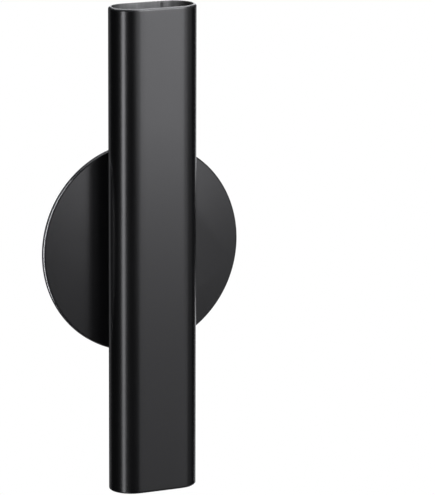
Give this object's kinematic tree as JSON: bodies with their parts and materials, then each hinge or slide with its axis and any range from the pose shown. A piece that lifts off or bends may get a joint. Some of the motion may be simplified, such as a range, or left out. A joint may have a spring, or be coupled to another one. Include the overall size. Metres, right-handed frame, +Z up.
{
  "type": "wall vase",
  "caption": "Slim flat-oval metal tube vase, closed at the foot, that hangs upright on a round wall plate by headed studs in keyholes and lifts off.",
  "frame": {"origin": "centre of the wall plate's back rim, on the wall's surface", "axes": "+Z up along the tube, +Y into the wall, so the vase faces -Y"},
  "size_m": [0.093, 0.0512, 0.214],
  "materials": {
    "black_powder_coat": "satin black powder coat",
    "zinc_steel": "zinc plated",
    "grey_nylon": "moulded nylon"
  },
  "bodies": {
    "wall_fixing": {"wall_plate": "black_powder_coat", "wall_screw_upper": "zinc_steel", "wall_screw_lower": "zinc_steel", "wall_plug_upper": "grey_nylon", "wall_plug_lower": "grey_nylon"},
    "vase": {"vase_tube": "black_powder_coat", "tube_floor": "black_powder_coat", "hanger_stud_upper": "black_powder_coat", "hanger_stud_lower": "black_powder_coat"}
  },
  "joints": [
    {"name": "lift_off", "type": "slide", "parent": "wall_fixing", "child": "vase", "axis": [0, 0, 1], "range_m": [0, 0.009]}
  ]
}
